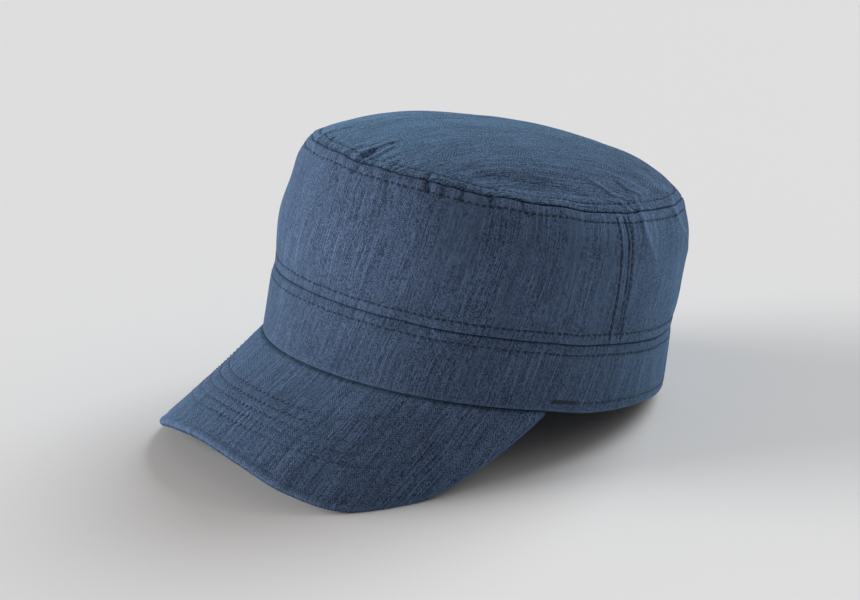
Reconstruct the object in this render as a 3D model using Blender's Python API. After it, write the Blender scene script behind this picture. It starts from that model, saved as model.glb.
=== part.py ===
"""Work cap of soft twill, empty, as it rests on a table.

A domed oval top panel sits on a front and a back side panel, these on a plain round band, and a
curved peak is sewn under the front of the band. The cap leans back: it touches the table with the
back of its rim and with the two low corners of its peak.

Metres, +Z up. The front looks along -Y and the wearer's left is +X. Shapes are first worked out
upright, round the centre of the rim, and an empty then carries the cap to its resting place. The
origin is on the table, under the middle of the cap's box.

An angle goes round the cap from 0 at the front, over 90 degrees at the wearer's left, to 180 at the
back. A station goes up it: 0 is the rim, 1 the band seam, 2 the top seam and 3 the top's middle.
"""

import bmesh
import bpy
import numpy as np

# Driving dimensions, in metres, degrees or plain shares
RIM_ROUND = 0.590       # round the outside of the rim
LENGTH_TO_WIDTH = 1.152  # of the rim's oval
EGG = 0.030             # how much broader than an oval the front half is
BAND_HEIGHT = 0.0306    # rim to band seam
SIDE_HEIGHT = 0.0593    # band seam to top seam
TOP_RISE_FRONT = 0.0014  # how much higher the top seam is in front, and lower at the back
TOP_DIP_SIDES = 0.0017  # how much lower the top seam is at the sides, and higher at front and back
DOME_RISE = 0.0213      # top seam to the top's middle
DOME_LEAN = 0.0009      # how much higher the dome is halfway to the front
SHOULDER_REACH = 2.27   # a high power keeps the dome flat far out
SHOULDER_ROUND = 0.816  # a power below 1 lets the dome end steeply
RIM_DROP = 0.0011       # how far the weight of the peak pulls the rim down in front
SIDE_SEAM = 94.6        # angle of the two side seams
PEAK_LENGTH = 0.0585    # along the middle of the peak
PEAK_SWEEP = 75.4       # angle at which the peak ends, on each side
SIDE_CLOTH = 0.0018     # thickness of the side panels, with their seams
TOP_CLOTH = 0.0018      # thickness of the top panel
BAND_CLOTH = 0.0025     # thickness of the band, two cloths and the turned edge
PEAK_THICKNESS = 0.0035  # cloth, board and cloth
PEAK_TUCK = 0.9         # share of the band's thickness that the peak reaches under
SEAM_GAP = 0.0003       # between two panels, and between the band and the peak
SEAM_SINK = 0.0009      # how far the cloth dips into a seam
SEAM_SOFTNESS = 0.0022  # how wide that dip is
FOLD_DEPTH = 0.003      # depth of the deepest fold
RESTING_FLAT = 0.0006   # how far cloth is pressed flat where it meets the table
ROUND_STEPS = 72        # faces round the cap
PEAK_STEPS = 44         # faces along the peak


def table(columns, *rows):
    """A table as one array for each named column."""
    return dict(zip(columns.split(), np.array(rows, float).T))


# The side panels, from the band seam (height 0) to the top seam (height 1): length and width as
# shares of the rim's, and the shift of the middle to the back as a share of half the rim's length.
SIDE_PROFILE = table(
    "height length width shift",
    (0.00, 0.988, 1.002, -0.012),
    (0.30, 1.001, 1.000, -0.012),
    (0.60, 0.994, 0.973, -0.003),
    (0.85, 0.978, 0.929, -0.006),
    (1.00, 0.941, 0.873, -0.013),
)

# The peak from its middle (side 0) to its end (side 1): length as a share of the middle's, and the
# directions in which it leaves the rim, in degrees: droop is downwards and splay sideways.
PEAK_SHAPE = table(
    "side length droop splay",
    (0.00, 1.000, 36.6, 0.0),
    (0.20, 1.034, 38.0, 3.2),
    (0.40, 1.089, 42.2, 5.8),
    (0.60, 1.043, 48.7, 7.4),
    (0.80, 0.724, 57.1, 7.3),
    (0.92, 0.338, 62.9, 6.1),
    (1.00, 0.050, 66.9, 4.8),
)

# Folds and dents: the middle in degrees and stations, the half width across in degrees and up in
# stations, and the depth as a share of FOLD_DEPTH, below zero for a dent.
FOLDS = table(
    "angle station across up depth",
    (68.0, 2.10, 24.0, 0.07, -0.70),
    (84.0, 2.30, 16.0, 0.08, 0.30),
    (10.0, 2.07, 6.0, 0.08, -0.50),
    (-17.0, 2.05, 7.0, 0.09, 0.35),
    (-28.0, 1.30, 14.0, 0.22, -0.30),
    (101.0, 1.86, 4.5, 0.16, 0.35),
    (112.0, 1.80, 7.0, 0.20, -0.35),
    (124.0, 2.02, 5.0, 0.16, 0.40),
    (133.0, 1.84, 6.0, 0.15, -0.40),
    (141.0, 1.62, 9.0, 0.22, 0.35),
    (-110.0, 2.05, 8.0, 0.14, -0.35),
    (-140.0, 1.70, 9.0, 0.24, 0.35),
)

BAND_ROWS = (0.04, 0.12, 0.35, 0.65, 0.88, 0.95)
SIDE_ROWS = (1.02, 1.05, 1.14, 1.30, 1.46, 1.62, 1.76, 1.86, 1.93, 1.97)
TOP_ROWS = (2.015, 2.04, 2.08, 2.14, 2.22, 2.32, 2.44, 2.58, 2.74, 2.88)
PEAK_ROWS = (0.06, 0.2, 0.38, 0.56, 0.74, 0.9)
EDGE_STEPS = 4          # faces round the peak's edge


def through(positions, values, at, flat_start=False):
    """A smooth curve through the rows of a table, as cubic pieces that share their slopes."""
    slopes = np.gradient(values, positions)
    if flat_start:
        slopes[0] = 0
    row = np.clip(np.searchsorted(positions, at, side="right") - 1, 0, len(positions) - 2)
    width = positions[row + 1] - positions[row]
    u = (at - positions[row]) / width
    return (
        (2 * u**3 - 3 * u**2 + 1) * values[row]
        + (u**3 - 2 * u**2 + u) * width * slopes[row]
        + (3 * u**2 - 2 * u**3) * values[row + 1]
        + (u**3 - u**2) * width * slopes[row + 1]
    )


def rim_half_sizes():
    """Half the length and half the width of the rim, from the way round it (Ramanujan's formula)."""
    ratio = LENGTH_TO_WIDTH
    h = ((ratio - 1) / (ratio + 1)) ** 2
    round_of_unit = np.pi * (ratio + 1) * (1 + 3 * h / (10 + np.sqrt(4 - 3 * h)))
    half_width = RIM_ROUND / round_of_unit
    return ratio * half_width, half_width


HALF_LENGTH, HALF_WIDTH = rim_half_sizes()


def oval(angle, length=1.0, width=1.0, shift=0.0):
    """Plan position at an angle on the rim's oval, scaled by shares and shifted to the back."""
    x = HALF_WIDTH * width * np.sin(angle) * (1 + EGG * np.cos(angle))
    y = -HALF_LENGTH * length * np.cos(angle) + shift * HALF_LENGTH
    return x, y


def rim_height(angle):
    """The rim is level, but for the stretch over the peak, which is pulled down."""
    reach = np.clip(angle / np.radians(PEAK_SWEEP), -1, 1)
    return -RIM_DROP * (1 - reach**2)


def top_seam_height(angle):
    level = BAND_HEIGHT + SIDE_HEIGHT
    return level + TOP_RISE_FRONT * np.cos(angle) + TOP_DIP_SIDES * np.cos(2 * angle)


def side_column(name, station):
    """A column of SIDE_PROFILE at a station, running straight to the rim's own value below the seam."""
    at_rim = 0.0 if name == "shift" else 1.0
    values = SIDE_PROFILE[name]
    in_band = at_rim + (values[0] - at_rim) * np.clip(station, 0, 1)
    in_side = through(SIDE_PROFILE["height"], values, np.clip(station - 1, 0, 1))
    return np.where(station <= 1, in_band, in_side)


def band_and_side(angle, station):
    x, y = oval(angle, *(side_column(name, station) for name in ("length", "width", "shift")))
    in_band = rim_height(angle) * (1 - station) + BAND_HEIGHT * station
    in_side = BAND_HEIGHT + (top_seam_height(angle) - BAND_HEIGHT) * (station - 1)
    return np.stack([x, y, np.where(station <= 1, in_band, in_side)], axis=-1)


def dome(angle, station):
    """The top: the seam's outline drawn in to the middle, over a dome with a round shoulder."""
    out = 3 - station
    seam = band_and_side(angle, np.full_like(station, 2.0))
    middle_y = SIDE_PROFILE["shift"][-1] * HALF_LENGTH
    x = seam[..., 0] * out
    y = (seam[..., 1] - middle_y) * out + middle_y
    bowl = 1 - out**2
    shoulder = (1 - out**SHOULDER_REACH) ** SHOULDER_ROUND
    z = seam[..., 2] * out**2 + (BAND_HEIGHT + SIDE_HEIGHT) * bowl + DOME_RISE * shoulder
    return np.stack([x, y, z - DOME_LEAN * bowl * y / HALF_LENGTH], axis=-1)


def crown_shape(angle, station):
    """The crown's outer surface before its seams and folds."""
    angle, station = np.broadcast_arrays(angle, station)
    lower = band_and_side(angle, np.minimum(station, 2.0))
    upper = dome(angle, np.clip(station, 2.0, 3.0))
    return np.where((station <= 2)[..., None], lower, upper)


def unit(vectors):
    return vectors / np.linalg.norm(vectors, axis=-1, keepdims=True)


def crown_normal(angle, station):
    """The outward direction, from points a small step to each side. Panels share it at their seam."""
    step = 0.008
    for seam in (1.0, 2.0):
        station = np.where(np.abs(station - seam) < step, seam, station)
    station = np.minimum(station, 3 - 3 * step)
    along = crown_shape(angle + step, station) - crown_shape(angle - step, station)
    below = crown_shape(angle, np.maximum(station - step, 0))
    return unit(np.cross(along, crown_shape(angle, station + step) - below))


def seam_dip(station):
    """Depth of the cloth's dip into the band seam and the top seam."""
    height = np.where(station < 1, BAND_HEIGHT, np.where(station < 2, SIDE_HEIGHT, HALF_WIDTH))
    away = np.minimum(np.abs(station - 1), np.abs(station - 2)) * height
    return SEAM_SINK * np.exp(-((away / SEAM_SOFTNESS) ** 2))


def fold_height(angle, station):
    """All folds and dents added up, each a soft oval hump."""
    total = np.zeros(np.broadcast(angle, station).shape)
    for middle, level, across, up, depth in zip(*FOLDS.values()):
        turn = np.degrees(angle) - middle
        turn = (turn + 180) % 360 - 180
        total += depth * np.exp(-((turn / across) ** 2) - ((station - level) / up) ** 2)
    return FOLD_DEPTH * total


def crown_wall(angle, station, thickness):
    """Outer and inner points of the crown at a grid of angles and stations."""
    normal = crown_normal(angle, station)
    relief = fold_height(angle, station) - seam_dip(station)
    outer = crown_shape(angle, station) + relief[..., None] * normal
    return outer, outer - thickness * normal


def beside_seam(angle, station, side):
    """The station half a seam gap above (side 1) or below (side -1) a seam."""
    trial = 0.002 * side
    step = crown_shape(angle, station + trial) - crown_shape(angle, station)
    return station + trial * (SEAM_GAP / 2) / np.linalg.norm(step, axis=-1)


def wall_loop(outer, inner):
    """One closed loop of rows, up the outside of a wall and down its inside."""
    return np.concatenate([outer, inner[::-1]])


def peak_column(name, side):
    flat = name != "splay"
    return through(PEAK_SHAPE["side"], PEAK_SHAPE[name], np.abs(side), flat_start=flat)


def peak_top(side, along):
    """Point of the peak's upper surface, a distance along it from the rim."""
    angle = side * np.radians(PEAK_SWEEP)
    x, y = oval(angle)
    root = np.stack([x, y, rim_height(angle) - SEAM_GAP], axis=-1)
    droop = np.radians(peak_column("droop", side))
    splay = np.radians(peak_column("splay", side)) * np.sign(side)
    heading = np.stack(
        [np.cos(droop) * np.sin(splay), -np.cos(droop) * np.cos(splay), -np.sin(droop)], axis=-1
    )
    return root + along[..., None] * heading


def peak_normal(side, along):
    step = 0.004
    across = peak_top(side + step, along) - peak_top(side - step, along)
    out = peak_top(side, along + step) - peak_top(side, along)
    return unit(np.cross(out, across))


def peak_loop():
    """Closed loop of rows round the peak: out along its top, round its edge, back and up to the band."""
    side = np.linspace(-1, 1, PEAK_STEPS + 1)
    edge = PEAK_THICKNESS / 2
    flat_length = PEAK_LENGTH * peak_column("length", side) - edge
    top_rows = [(share * flat_length, 0.0) for share in (0.0, *PEAK_ROWS)]
    turns = np.linspace(0, np.pi, EDGE_STEPS + 1)
    edge_rows = [(flat_length + edge * np.sin(turn), edge * (1 - np.cos(turn))) for turn in turns]
    under_rows = [(along, PEAK_THICKNESS) for along, _ in reversed(top_rows)]
    points = [
        peak_top(side, along) - depth * peak_normal(side, along)
        for along, depth in top_rows + edge_rows + under_rows
    ]
    root = points[0]
    inward = unit(root * [-1, -1, 0])
    return np.stack([*points, root + PEAK_TUCK * BAND_CLOTH * inward])


def rotated(points, lean):
    """Points leaned back about X by an angle, the front going up."""
    c, s = np.cos(lean), np.sin(lean)
    return points @ np.array([[1, 0, 0], [0, c, s], [0, -s, c]]).T


def resting_lean(rim, peak):
    """The lean at which the back of the rim and the peak reach down equally far."""
    low, high = 0.0, np.radians(40)
    for _ in range(50):
        lean = (low + high) / 2
        rim_lowest = rotated(rim, lean)[..., 2].min()
        if rim_lowest > rotated(peak, lean)[..., 2].min():
            low = lean
        else:
            high = lean
    return lean


def pressed_flat(points, lean, table_level):
    """Points below the table moved straight up onto it."""
    up = np.array([0, -np.sin(lean), np.cos(lean)])
    below = np.minimum(points @ up - table_level, 0)
    return points - below[..., None] * up


def cloth(name, colour, roughness):
    material = bpy.data.materials.new(name)
    material.use_nodes = True
    shader = material.node_tree.nodes["Principled BSDF"]
    shader.inputs["Base Color"].default_value = (*colour, 1)
    shader.inputs["Roughness"].default_value = roughness
    shader.inputs["Metallic"].default_value = 0
    material.diffuse_color = (*colour, 1)
    return material


def grid_faces(index):
    corners = [index[:-1, :-1], index[:-1, 1:], index[1:, 1:], index[1:, :-1]]
    return np.stack(corners, axis=-1).reshape(-1, 4).tolist()


def solid(name, loop, material, parent, closed_round):
    """A closed body from a loop of rows, each row running round the cap or along the peak."""
    rows, columns = loop.shape[:2]
    index = np.arange(rows * columns).reshape(rows, columns)
    ends = [] if closed_round else [index[::-1, 0].tolist(), index[:, -1].tolist()]
    index = np.vstack([index, index[:1]])
    if closed_round:
        index = np.hstack([index, index[:, :1]])
    mesh = bpy.data.meshes.new(name)
    mesh.from_pydata(loop.reshape(-1, 3).tolist(), [], grid_faces(index) + ends)
    body = bmesh.new()
    body.from_mesh(mesh)
    bmesh.ops.remove_doubles(body, verts=body.verts, dist=1e-6)
    bmesh.ops.recalc_face_normals(body, faces=body.faces)
    body.to_mesh(mesh)
    body.free()
    mesh.shade_smooth()
    mesh.set_sharp_from_angle(angle=np.radians(50))
    mesh.materials.append(material)
    piece = bpy.data.objects.new(name, mesh)
    bpy.context.scene.collection.objects.link(piece)
    piece.parent = parent
    return piece


def panel_angles():
    """Angles of the faces' corners over the front panel and over the back panel, seams included."""
    front_steps = round(ROUND_STEPS * SIDE_SEAM / 180)
    seam = np.radians(SIDE_SEAM)
    front = np.linspace(-seam, seam, front_steps + 1)
    return front, np.linspace(seam, 2 * np.pi - seam, ROUND_STEPS - front_steps + 1)


def full_round():
    """The same angles once round the cap, so that the panels' edges match."""
    front, back = panel_angles()
    return np.concatenate([front[:-1], back[:-1]])


def band_loop():
    angle = full_round()[None, :]
    seam_row = beside_seam(angle, 1.0, -1)
    rows = [np.full_like(seam_row, station) for station in (0.0, *BAND_ROWS)]
    return wall_loop(*crown_wall(angle, np.vstack([*rows, seam_row]), BAND_CLOTH))


def side_loop(angles):
    """A side panel over a row of angles, each end half a seam gap short of its seam."""
    short = SEAM_GAP / 2 / HALF_WIDTH
    angle = np.array([angles[0] + short, *angles[1:-1], angles[-1] - short])[None, :]
    lower, upper = beside_seam(angle, 1.0, 1), beside_seam(angle, 2.0, -1)
    rows = [np.full_like(lower, station) for station in SIDE_ROWS]
    return wall_loop(*crown_wall(angle, np.vstack([lower, *rows, upper]), SIDE_CLOTH))


def top_loop():
    """The top panel, whose last rows close at the middle of its outside and its inside."""
    angle = full_round()[None, :]
    seam_row = beside_seam(angle, 2.0, 1)
    rows = [np.full_like(seam_row, station) for station in (*TOP_ROWS, 3.0)]
    outer, inner = crown_wall(angle, np.vstack([seam_row, *rows]), TOP_CLOTH)
    outer[-1] = outer[-1].mean(axis=0)
    inner[-1] = inner[-1].mean(axis=0)
    return outer, inner


def top_solid(name, outer, inner, material, parent):
    """The top panel as one body: its two skins meet only along the seam edge."""
    return solid(name, np.concatenate([outer[::-1], inner]), material, parent, closed_round=True)


def build():
    for old in list(bpy.data.objects):
        bpy.data.objects.remove(old)
    twill = cloth("twill", (0.060, 0.095, 0.165), 0.85)
    band_twill = cloth("band_twill", (0.055, 0.085, 0.150), 0.85)
    peak_twill = cloth("peak_twill", (0.055, 0.088, 0.150), 0.80)

    front_angles, back_angles = panel_angles()
    loops = {
        "band": band_loop(),
        "side_front": side_loop(front_angles),
        "side_back": side_loop(back_angles),
        "peak": peak_loop(),
    }
    top_outer, top_inner = top_loop()

    lean = resting_lean(loops["band"], loops["peak"])
    table_level = rotated(loops["band"], lean)[..., 2].min() + RESTING_FLAT
    for name in ("band", "peak"):
        loops[name] = pressed_flat(loops[name], lean, table_level)

    everything = [points.reshape(-1, 3) for points in (*loops.values(), top_outer)]
    everything = rotated(np.concatenate(everything), lean)
    middle = (everything.min(axis=0) + everything.max(axis=0)) / 2
    cap = bpy.data.objects.new("cap_at_rest", None)
    bpy.context.scene.collection.objects.link(cap)
    cap.rotation_euler = (-lean, 0, 0)
    cap.location = (-middle[0], -middle[1], -table_level)

    solid("band", loops["band"], band_twill, cap, closed_round=True)
    solid("side_front", loops["side_front"], twill, cap, closed_round=False)
    solid("side_back", loops["side_back"], twill, cap, closed_round=False)
    top_solid("crown_top", top_outer, top_inner, twill, cap)
    solid("peak", loops["peak"], peak_twill, cap, closed_round=False)


build()
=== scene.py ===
# %% [markdown]
# # A soft work cap
# The real thing is a work cap of slubbed blue twill: an oval domed top, upright sides, a plain
# band and a short curved peak. It stands empty and leans back on its rim and its peak's corners.
# The CAD model holds five plain solids of that shape. Cloth looks like cloth because of its
# seams, puckers, stitches and weave, so each solid is replaced here by a finer piece that
# follows the same formulas, and the small forms are added to them.

# %% Load the fixed frame
import bpy
import numpy as np
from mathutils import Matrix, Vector


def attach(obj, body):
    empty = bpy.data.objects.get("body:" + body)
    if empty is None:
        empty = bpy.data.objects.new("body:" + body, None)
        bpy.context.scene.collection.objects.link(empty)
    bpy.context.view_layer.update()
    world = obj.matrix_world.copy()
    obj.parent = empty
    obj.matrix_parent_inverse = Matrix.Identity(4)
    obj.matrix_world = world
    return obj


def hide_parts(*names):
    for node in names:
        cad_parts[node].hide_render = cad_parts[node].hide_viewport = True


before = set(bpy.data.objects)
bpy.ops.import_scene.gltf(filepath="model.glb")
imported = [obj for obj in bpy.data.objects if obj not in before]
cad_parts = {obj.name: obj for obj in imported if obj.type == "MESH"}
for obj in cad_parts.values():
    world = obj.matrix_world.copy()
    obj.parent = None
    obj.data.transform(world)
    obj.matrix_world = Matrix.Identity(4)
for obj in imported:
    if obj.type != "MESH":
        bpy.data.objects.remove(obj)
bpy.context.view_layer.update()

MM = 0.001
print("CAD nodes:", sorted(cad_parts))

# %% [markdown]
# ## The cap's own measure
# A cap is easiest to think of upright and round the middle of its rim. An angle goes round it
# from 0 at the front, over 90 degrees at the wearer's left, to 180 at the back. A station goes
# up it: 0 is the rim, 1 the band seam, 2 the top seam and 3 the top's middle. These sizes are
# the ones that the CAD source uses, so that every new piece lies where its solid is.

# %% Sizes that the CAD model has too
HALF_LENGTH = 100.409 * MM  # of the rim's oval, front to back
HALF_WIDTH = 87.160 * MM    # of the rim's oval, side to side
EGG = 0.030                 # how much broader than an oval the front half is
BAND_HEIGHT = 30.6 * MM     # rim to band seam
SIDE_HEIGHT = 59.3 * MM     # band seam to top seam
TOP_RISE_FRONT = 1.4 * MM   # how much higher the top seam is in front
TOP_DIP_SIDES = 1.7 * MM    # how much lower it is at the sides
DOME_RISE = 21.3 * MM       # top seam to the top's middle
DOME_LEAN = 0.9 * MM        # how much higher the dome is halfway to the front
SHOULDER_REACH = 2.27       # a high power keeps the dome flat far out
SHOULDER_ROUND = 0.816      # a power below 1 lets it end steeply
RIM_DROP = 1.1 * MM         # how far the peak pulls the rim down in front
SIDE_SEAM = 94.6            # angle of the two side seams
PEAK_LENGTH = 58.5 * MM     # along the middle of the peak
PEAK_SWEEP = 75.4           # angle at which the peak ends, on each side
SIDE_CLOTH = 1.8 * MM       # thickness of the side panels, with their seams
TOP_CLOTH = 1.8 * MM        # thickness of the top panel
BAND_CLOTH = 2.5 * MM       # thickness of the band
PEAK_THICKNESS = 3.5 * MM   # cloth, board and cloth
FOLD_DEPTH = 3.0 * MM       # depth of the deepest fold
LEAN = 13.0710              # degrees by which the cap leans back
PLACE = (0.0, 18.8087 * MM, 22.1082 * MM)  # of the rim's middle, once it leans


def table(columns, *rows):
    """A table as one array for each named column."""
    return dict(zip(columns.split(), np.array(rows, float).T))


# Shares of the rim's length and width, and the shift to the back, up the side panels
SIDE_PROFILE = table(
    "height length width shift",
    (0.00, 0.988, 1.002, -0.012),
    (0.30, 1.001, 1.000, -0.012),
    (0.60, 0.994, 0.973, -0.003),
    (0.85, 0.978, 0.929, -0.006),
    (1.00, 0.941, 0.873, -0.013),
)

# The peak from its middle (side 0) to its end (side 1), with its two slopes in degrees
PEAK_SHAPE = table(
    "side length droop splay",
    (0.00, 1.000, 36.6, 0.0),
    (0.20, 1.034, 38.0, 3.2),
    (0.40, 1.089, 42.2, 5.8),
    (0.60, 1.043, 48.7, 7.4),
    (0.80, 0.724, 57.1, 7.3),
    (0.92, 0.338, 62.9, 6.1),
    (1.00, 0.050, 66.9, 4.8),
)

# Broad folds and dents: the middle, the half width across and up, and the depth as a share
FOLDS = table(
    "angle station across up depth",
    (68.0, 2.10, 24.0, 0.07, -0.70),
    (84.0, 2.30, 16.0, 0.08, 0.30),
    (10.0, 2.07, 6.0, 0.08, -0.50),
    (-17.0, 2.05, 7.0, 0.09, 0.35),
    (-28.0, 1.30, 14.0, 0.22, -0.30),
    (101.0, 1.86, 4.5, 0.16, 0.35),
    (112.0, 1.80, 7.0, 0.20, -0.35),
    (124.0, 2.02, 5.0, 0.16, 0.40),
    (133.0, 1.84, 6.0, 0.15, -0.40),
    (141.0, 1.62, 9.0, 0.22, 0.35),
    (-110.0, 2.05, 8.0, 0.14, -0.35),
    (-140.0, 1.70, 9.0, 0.24, 0.35),
)

# Smaller swells and hollows that only the cloth has, in the same columns
SWELLS = table(
    "angle station across up depth",
    (-36.0, 1.42, 15.0, 0.24, 0.55),
    (-36.0, 0.98, 18.0, 0.12, -0.30),
    (-38.0, 1.86, 12.0, 0.10, 0.20),
    (140.0, 2.13, 14.0, 0.05, -0.40),
    (138.0, 1.96, 9.0, 0.07, 0.35),
    (140.0, 1.50, 16.0, 0.22, -0.35),
    (140.0, 1.00, 20.0, 0.14, -0.28),
    (188.0, 2.24, 26.0, 0.12, 0.25),
    (-28.0, 2.02, 14.0, 0.06, -0.35),
)
RIM_SAG = 1.3 * MM          # how far the rim's near edge hangs down beside the peak
SAG_ANGLE, SAG_REACH = 92.0, 13.0   # where it hangs lowest and how far round, in degrees
print("Way round the rim, about", round(2 * np.pi * (HALF_LENGTH + HALF_WIDTH) / 2 / MM), "mm")

# %% [markdown]
# ## The crown as a surface of two parameters
# A point of the crown is a function of its angle and its station. The plan is an oval, a little
# broader in front, whose size changes with the height. The top draws that oval in to its middle
# over a dome. Working on whole arrays of angles and stations at once keeps this quick.


# %% The crown's formulas
def through(positions, values, at, flat_start=False):
    """A smooth curve through a table's rows: between two rows, a cubic that shares their slopes."""
    slopes = np.gradient(values, positions)
    if flat_start:
        slopes[0] = 0
    row = np.clip(np.searchsorted(positions, at, side="right") - 1, 0, len(positions) - 2)
    width = positions[row + 1] - positions[row]
    u = (at - positions[row]) / width
    start, end = 2 * u**3 - 3 * u**2 + 1, 3 * u**2 - 2 * u**3
    rising, falling = u**3 - 2 * u**2 + u, u**3 - u**2
    bends = width * (rising * slopes[row] + falling * slopes[row + 1])
    return start * values[row] + end * values[row + 1] + bends


def oval(angle, length=1.0, width=1.0, shift=0.0):
    """Sine of the angle across, cosine along, times half sizes. The egg widens the front."""
    x = HALF_WIDTH * width * np.sin(angle) * (1 + EGG * np.cos(angle))
    return x, (shift - length * np.cos(angle)) * HALF_LENGTH


def rim_height(angle):
    """Level, less a drop over the peak that is a parabola of the angle."""
    reach = np.clip(angle / np.radians(PEAK_SWEEP), -1, 1)
    return -RIM_DROP * (1 - reach**2)


def round_angle(angle):
    """The same angle between minus and plus half a turn."""
    return (angle + np.pi) % (2 * np.pi) - np.pi


def side_column(name, station):
    """A column of the side table: even steps up the band, and a smooth curve above it."""
    at_rim = 0.0 if name == "shift" else 1.0
    values = SIDE_PROFILE[name]
    in_band = at_rim + (values[0] - at_rim) * np.clip(station, 0, 1)
    in_side = through(SIDE_PROFILE["height"], values, np.clip(station - 1, 0, 1))
    return np.where(station <= 1, in_band, in_side)


def wall(angle, station):
    """Band and sides: the oval of that height, and a height that rises evenly to each seam."""
    x, y = oval(angle, *(side_column(name, station) for name in ("length", "width", "shift")))
    top = BAND_HEIGHT + SIDE_HEIGHT
    top = top + TOP_RISE_FRONT * np.cos(angle) + TOP_DIP_SIDES * np.cos(2 * angle)
    in_band = rim_height(round_angle(angle)) * (1 - station) + BAND_HEIGHT * station
    in_side = BAND_HEIGHT + (top - BAND_HEIGHT) * (station - 1)
    return np.stack([x, y, np.where(station <= 1, in_band, in_side)], axis=-1)


def dome(angle, station):
    """The top seam's outline times a share that falls from 1 to 0, over a bowl with a shoulder."""
    out = 3 - station
    seam = wall(angle, np.full_like(station, 2.0))
    middle_y = SIDE_PROFILE["shift"][-1] * HALF_LENGTH
    y = (seam[..., 1] - middle_y) * out + middle_y
    bowl = 1 - out**2
    shoulder = (1 - out**SHOULDER_REACH) ** SHOULDER_ROUND
    z = seam[..., 2] * out**2 + (BAND_HEIGHT + SIDE_HEIGHT) * bowl + DOME_RISE * shoulder
    return np.stack([seam[..., 0] * out, y, z - DOME_LEAN * bowl * y / HALF_LENGTH], axis=-1)


def unit(vectors):
    """Each vector divided by its length."""
    return vectors / np.linalg.norm(vectors, axis=-1, keepdims=True)


def smooth(value, start, end):
    """0 before start, 1 after end, and an S-shaped cubic between."""
    share = np.clip((value - start) / (end - start), 0, 1)
    return share * share * (3 - 2 * share)


def bell(distance, width):
    """A bell curve: 1 at no distance and about a third at one width."""
    return np.exp(-((distance / width) ** 2))


print("Top seam at the front, in mm:", np.round(wall(0.0, np.array(2.0)) / MM, 1))

# %% [markdown]
# ## Folds, puckers and wandering
# Sewn cloth is never smooth. Broad folds come from the table above. Next to a seam the thread
# pulls the cloth into short puckers, sharp creases run off from them, and the whole cloth
# wanders by a fraction of a millimetre. Noise is made from a fixed seed, so it is the same
# each time.


# %% Noise and lines
def soft_noise(u, v, seed, cells=64):
    """Random heights on a square lattice, joined by S-shaped steps. It repeats every `cells`."""
    lattice = np.random.default_rng(seed).uniform(-1, 1, (cells, cells))
    column, row = np.floor(u).astype(int), np.floor(v).astype(int)
    across, up = smooth(u - column, 0, 1), smooth(v - row, 0, 1)

    def corner(i, j):
        return lattice[(column + i) % cells, (row + j) % cells]

    low = corner(0, 0) * (1 - across) + corner(1, 0) * across
    high = corner(0, 1) * (1 - across) + corner(1, 1) * across
    return low * (1 - up) + high * up


def round_noise(angle, v, seed, cells):
    """Noise that closes on itself after one turn round the cap, with so many cells in the turn."""
    return soft_noise(angle / (2 * np.pi) * cells, v, seed, cells)


def fold_height(angle, station):
    """All folds and swells added up, each a bell curve across times a bell curve up."""
    total = np.zeros(np.broadcast(angle, station).shape)
    for folds in (FOLDS, SWELLS):
        for middle, level, across, up, depth in zip(*folds.values()):
            turn = np.degrees(round_angle(angle - np.radians(middle)))
            total += depth * np.exp(-((turn / across) ** 2) - ((station - level) / up) ** 2)
    return FOLD_DEPTH * total


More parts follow.
